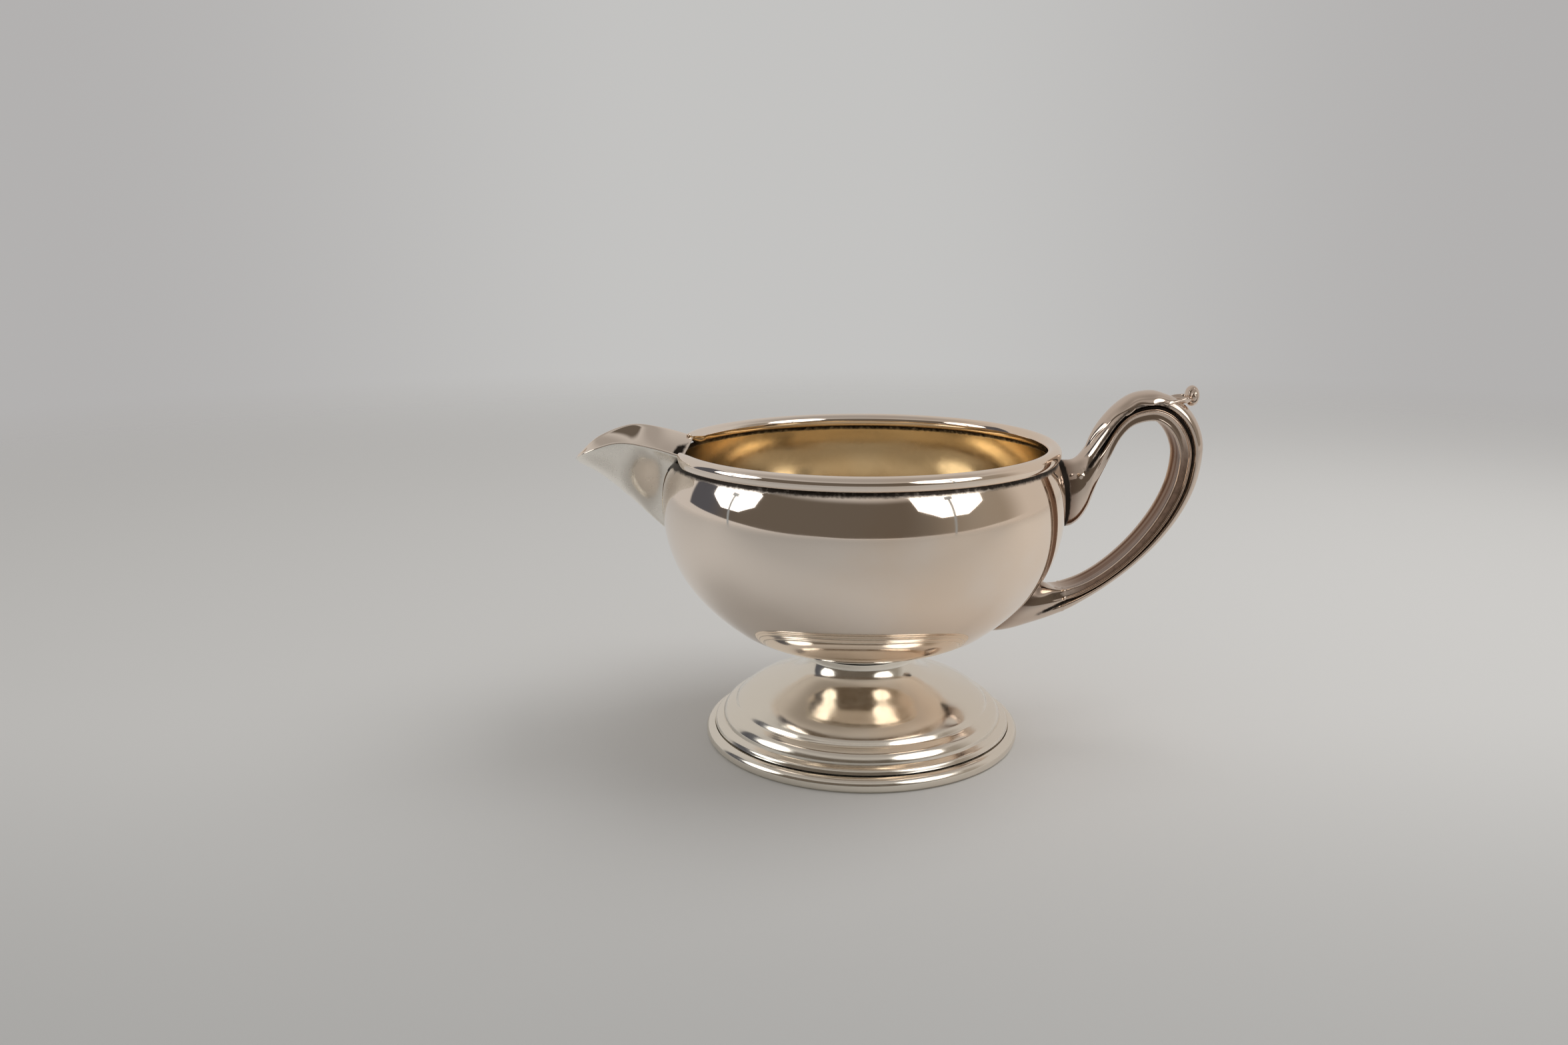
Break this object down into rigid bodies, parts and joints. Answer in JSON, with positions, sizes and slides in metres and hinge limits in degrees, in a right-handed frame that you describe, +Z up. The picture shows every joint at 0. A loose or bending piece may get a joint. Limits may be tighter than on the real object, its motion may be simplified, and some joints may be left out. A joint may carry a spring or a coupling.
{
  "type": "cream jug",
  "caption": "Round silver cream jug on a spun foot, with a folded pouring lip, a rim wire and a hollow loop handle with a thumb leaf.",
  "frame": {"origin": "under the middle of the whole jug's box, on the surface that it stands on; the axis of the bowl and foot is at x = -0.0064 m", "axes": "+Z up; +X towards the handle, so that the pouring lip points along -X; the plane y = 0 splits the jug through lip and handle"},
  "size_m": [0.1538, 0.0988, 0.0885],
  "materials": {
    "silver_body": "polished silver with fine wear",
    "silver_handle": "polished silver, dark in its grooves"
  },
  "bodies": {
    "root": {"bowl": "silver_body", "mouth_wire": "silver_body", "pouring_lip": "silver_body", "foot": "silver_body", "foot_wire": "silver_body", "handle_near_half": "silver_handle", "handle_far_half": "silver_handle", "upper_terminal": "silver_handle", "lower_terminal": "silver_handle", "thumb_leaf": "silver_handle"}
  },
  "joints": []
}
